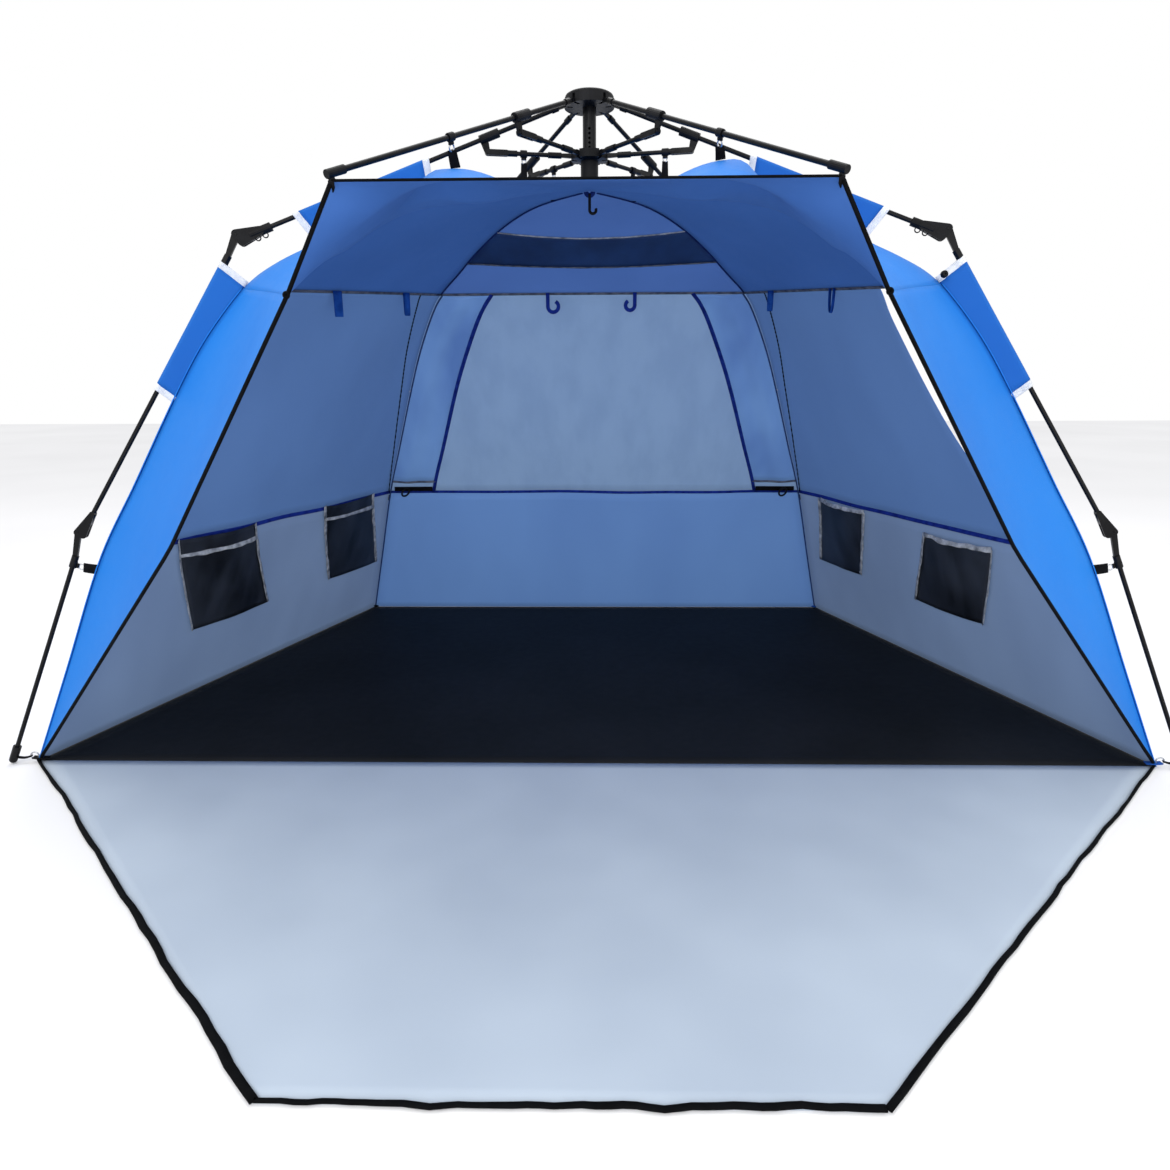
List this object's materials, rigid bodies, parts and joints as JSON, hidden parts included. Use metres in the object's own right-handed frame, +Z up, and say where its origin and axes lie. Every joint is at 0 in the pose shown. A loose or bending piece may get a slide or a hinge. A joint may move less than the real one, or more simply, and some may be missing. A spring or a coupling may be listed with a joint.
{
  "type": "beach tent",
  "caption": "Walk-in beach tent on an outside umbrella frame with folding legs, mesh back window, wall pockets and a fold-down porch sheet.",
  "frame": {"origin": "on the ground under the mast's axis, on the floor sheet's underside", "axes": "+X to the right seen from the opening, along the width; the opening and the porch face -Y; +Z up along the mast"},
  "size_m": [2.6202, 2.1061, 1.4093],
  "materials": {
    "moulded_plastic": "moulded black plastic, slightly satin",
    "black_pole": "black powder-coated steel tube, semi-gloss",
    "blue_cloth": "bright blue woven polyester",
    "lining_cloth": "coated blue polyester seen from its silvered side",
    "window_cloth": "fine see-through mesh",
    "porch_cloth": "pale grey-blue coated polyester",
    "floor_cloth": "black coated ground sheet",
    "pocket_mesh": "black open mesh"
  },
  "bodies": {
    "ground_and_fabric": {"back_wall": "lining_cloth", "back_window": "window_cloth", "floor_sheet": "floor_cloth", "front_panel_left": "blue_cloth", "front_panel_right": "blue_cloth", "front_pocket_left": "pocket_mesh", "front_pocket_right": "pocket_mesh", "main_roof": "lining_cloth", "rear_lower_flap_left": "blue_cloth", "rear_lower_flap_right": "blue_cloth", "rear_pocket_left": "pocket_mesh", "rear_pocket_right": "pocket_mesh", "rear_roof": "lining_cloth", "side_lower_flap_left": "blue_cloth", "side_lower_flap_right": "blue_cloth", "side_upper_flap_left": "blue_cloth", "side_upper_flap_right": "blue_cloth", "side_wall_left": "lining_cloth", "side_wall_right": "lining_cloth", "window_cover_left": "window_cloth", "window_cover_right": "window_cloth"},
    "hub": {"top_hub": "moulded_plastic", "hub_cap": "moulded_plastic", "mast_tube": "black_pole"},
    "runner": {"runner": "moulded_plastic"},
    "porch": {"porch_sheet": "porch_cloth"},
    "lantern_hook": {"lantern_hook": "moulded_plastic"},
    "front_arm_left": {"front_left_arm": "black_pole", "front_left_bracket": "moulded_plastic", "front_left_end_cap": "moulded_plastic"},
    "front_strut_left": {"front_left_strut": "black_pole"},
    "front_arm_right": {"front_right_arm": "black_pole", "front_right_bracket": "moulded_plastic", "front_right_end_cap": "moulded_plastic"},
    "front_strut_right": {"front_right_strut": "black_pole"},
    "side_arm_left": {"side_left_arm": "black_pole", "side_left_bracket": "moulded_plastic", "side_left_knee_housing": "moulded_plastic"},
    "side_strut_left": {"side_left_strut": "black_pole"},
    "side_upper_leg_left": {"side_left_upper_leg": "black_pole"},
    "side_lower_leg_left": {"side_left_lower_leg": "black_pole"},
    "side_arm_right": {"side_right_arm": "black_pole", "side_right_bracket": "moulded_plastic", "side_right_knee_housing": "moulded_plastic"},
    "side_strut_right": {"side_right_strut": "black_pole"},
    "side_upper_leg_right": {"side_right_upper_leg": "black_pole"},
    "side_lower_leg_right": {"side_right_lower_leg": "black_pole"},
    "rear_arm_left": {"rear_left_arm": "black_pole", "rear_left_bracket": "moulded_plastic", "rear_left_knee_housing": "moulded_plastic"},
    "rear_strut_left": {"rear_left_strut": "black_pole"},
    "rear_upper_leg_left": {"rear_left_upper_leg": "black_pole"},
    "rear_lower_leg_left": {"rear_left_lower_leg": "black_pole"},
    "rear_arm_right": {"rear_right_arm": "black_pole", "rear_right_bracket": "moulded_plastic", "rear_right_knee_housing": "moulded_plastic"},
    "rear_strut_right": {"rear_right_strut": "black_pole"},
    "rear_upper_leg_right": {"rear_right_upper_leg": "black_pole"},
    "rear_lower_leg_right": {"rear_right_lower_leg": "black_pole"}
  },
  "joints": [
    {"name": "hub_slide", "type": "slide", "parent": "ground_and_fabric", "child": "hub", "axis": [0, 0, 1], "range_m": [-0.6, 0], "deforming": ["back_wall", "back_window", "front_panel_left", "front_panel_right", "front_pocket_left", "front_pocket_right", "main_roof", "rear_lower_flap_left", "rear_lower_flap_right", "rear_pocket_left", "rear_pocket_right", "rear_roof", "side_lower_flap_left", "side_lower_flap_right", "side_upper_flap_left", "side_upper_flap_right", "side_wall_left", "side_wall_right", "window_cover_left", "window_cover_right"]},
    {"name": "runner_slide", "type": "slide", "parent": "hub", "child": "runner", "axis": [0, 0, 1], "range_m": [0, 0.0806]},
    {"name": "front_arm_left_hinge", "type": "hinge", "parent": "hub", "child": "front_arm_left", "pos_m": [-0.0243, -0.03178, 1.385], "axis": [0.7944, -0.6074, 0], "range_deg": [0, 60.01]},
    {"name": "front_strut_left_hinge", "type": "hinge", "parent": "runner", "child": "front_strut_left", "pos_m": [-0.01944, -0.02542, 1.28611], "axis": [0.7944, -0.6074, 0], "range_deg": [0, 87.01]},
    {"name": "front_arm_right_hinge", "type": "hinge", "parent": "hub", "child": "front_arm_right", "pos_m": [0.0243, -0.03178, 1.385], "axis": [0.7944, 0.6074, 0], "range_deg": [0, 60.01]},
    {"name": "front_strut_right_hinge", "type": "hinge", "parent": "runner", "child": "front_strut_right", "pos_m": [0.01944, -0.02542, 1.28611], "axis": [0.7944, 0.6074, 0], "range_deg": [0, 87.01]},
    {"name": "side_arm_left_hinge", "type": "hinge", "parent": "hub", "child": "side_arm_left", "pos_m": [-0.0393, -0.00746, 1.385], "axis": [0.1865, -0.9825, 0], "range_deg": [0, 60.01]},
    {"name": "side_strut_left_hinge", "type": "hinge", "parent": "runner", "child": "side_strut_left", "pos_m": [-0.03144, -0.00597, 1.28611], "axis": [0.1865, -0.9825, 0], "range_deg": [0, 87.01]},
    {"name": "side_knee_left", "type": "hinge", "parent": "side_arm_left", "child": "side_upper_leg_left", "pos_m": [-0.7104, -0.13487, 1.11757], "axis": [0.1865, -0.9825, 0], "range_deg": [-207.01, 0]},
    {"name": "side_shin_left", "type": "hinge", "parent": "side_upper_leg_left", "child": "side_lower_leg_left", "pos_m": [-1.08954, -0.20686, 0.522], "axis": [0.1865, -0.9825, 0], "range_deg": [-189, 0]},
    {"name": "side_arm_right_hinge", "type": "hinge", "parent": "hub", "child": "side_arm_right", "pos_m": [0.0393, -0.00746, 1.385], "axis": [0.1865, 0.9825, 0], "range_deg": [0, 60.01]},
    {"name": "side_strut_right_hinge", "type": "hinge", "parent": "runner", "child": "side_strut_right", "pos_m": [0.03144, -0.00597, 1.28611], "axis": [0.1865, 0.9825, 0], "range_deg": [0, 87.01]},
    {"name": "side_knee_right", "type": "hinge", "parent": "side_arm_right", "child": "side_upper_leg_right", "pos_m": [0.7104, -0.13487, 1.11757], "axis": [0.1865, 0.9825, 0], "range_deg": [-207.01, 0]},
    {"name": "side_shin_right", "type": "hinge", "parent": "side_upper_leg_right", "child": "side_lower_leg_right", "pos_m": [1.08954, -0.20686, 0.522], "axis": [0.1865, 0.9825, 0], "range_deg": [-189, 0]},
    {"name": "rear_arm_left_hinge", "type": "hinge", "parent": "hub", "child": "rear_arm_left", "pos_m": [-0.02571, 0.03064, 1.385], "axis": [-0.766, -0.6428, 0], "range_deg": [0, 60.01]},
    {"name": "rear_strut_left_hinge", "type": "hinge", "parent": "runner", "child": "rear_strut_left", "pos_m": [-0.02057, 0.02451, 1.28611], "axis": [-0.766, -0.6428, 0], "range_deg": [0, 87.01]},
    {"name": "rear_knee_left", "type": "hinge", "parent": "rear_arm_left", "child": "rear_upper_leg_left", "pos_m": [-0.4648, 0.55392, 1.11757], "axis": [-0.766, -0.6428, 0], "range_deg": [-207.01, 0]},
    {"name": "rear_shin_left", "type": "hinge", "parent": "rear_upper_leg_left", "child": "rear_lower_leg_left", "pos_m": [-0.71285, 0.84954, 0.522], "axis": [-0.766, -0.6428, 0], "range_deg": [-189, 0]},
    {"name": "rear_arm_right_hinge", "type": "hinge", "parent": "hub", "child": "rear_arm_right", "pos_m": [0.02571, 0.03064, 1.385], "axis": [-0.766, 0.6428, 0], "range_deg": [0, 60.01]},
    {"name": "rear_strut_right_hinge", "type": "hinge", "parent": "runner", "child": "rear_strut_right", "pos_m": [0.02057, 0.02451, 1.28611], "axis": [-0.766, 0.6428, 0], "range_deg": [0, 87.01]},
    {"name": "rear_knee_right", "type": "hinge", "parent": "rear_arm_right", "child": "rear_upper_leg_right", "pos_m": [0.4648, 0.55392, 1.11757], "axis": [-0.766, 0.6428, 0], "range_deg": [-207.01, 0]},
    {"name": "rear_shin_right", "type": "hinge", "parent": "rear_upper_leg_right", "child": "rear_lower_leg_right", "pos_m": [0.71285, 0.84954, 0.522], "axis": [-0.766, 0.6428, 0], "range_deg": [-189, 0]},
    {"name": "porch_fold", "type": "hinge", "parent": "ground_and_fabric", "child": "porch", "pos_m": [0, -0.23756, 0.0012], "axis": [-1, 0, 0], "range_deg": [0, 74]},
    {"name": "lantern_hook_swing", "type": "hinge", "parent": "hub", "child": "lantern_hook", "pos_m": [0, 0, 1.2186], "axis": [1, 0, 0], "range_deg": [-70, 70]}
  ],
  "couplings": [
    {"joint": "runner_slide", "follows": "hub_slide", "ratio": -0.13417},
    {"joint": "front_arm_left_hinge", "follows": "hub_slide", "rad_per_m": -1.7453},
    {"joint": "front_strut_left_hinge", "follows": "hub_slide", "rad_per_m": -2.5307},
    {"joint": "front_arm_right_hinge", "follows": "hub_slide", "rad_per_m": -1.7453},
    {"joint": "front_strut_right_hinge", "follows": "hub_slide", "rad_per_m": -2.5307},
    {"joint": "side_arm_left_hinge", "follows": "hub_slide", "rad_per_m": -1.7453},
    {"joint": "side_strut_left_hinge", "follows": "hub_slide", "rad_per_m": -2.5307},
    {"joint": "side_knee_left", "follows": "hub_slide", "rad_per_m": 6.0214},
    {"joint": "side_arm_right_hinge", "follows": "hub_slide", "rad_per_m": -1.7453},
    {"joint": "side_strut_right_hinge", "follows": "hub_slide", "rad_per_m": -2.5307},
    {"joint": "side_knee_right", "follows": "hub_slide", "rad_per_m": 6.0214},
    {"joint": "rear_arm_left_hinge", "follows": "hub_slide", "rad_per_m": -1.7453},
    {"joint": "rear_strut_left_hinge", "follows": "hub_slide", "rad_per_m": -2.5307},
    {"joint": "rear_knee_left", "follows": "hub_slide", "rad_per_m": 6.0214},
    {"joint": "rear_arm_right_hinge", "follows": "hub_slide", "rad_per_m": -1.7453},
    {"joint": "rear_strut_right_hinge", "follows": "hub_slide", "rad_per_m": -2.5307},
    {"joint": "rear_knee_right", "follows": "hub_slide", "rad_per_m": 6.0214}
  ]
}
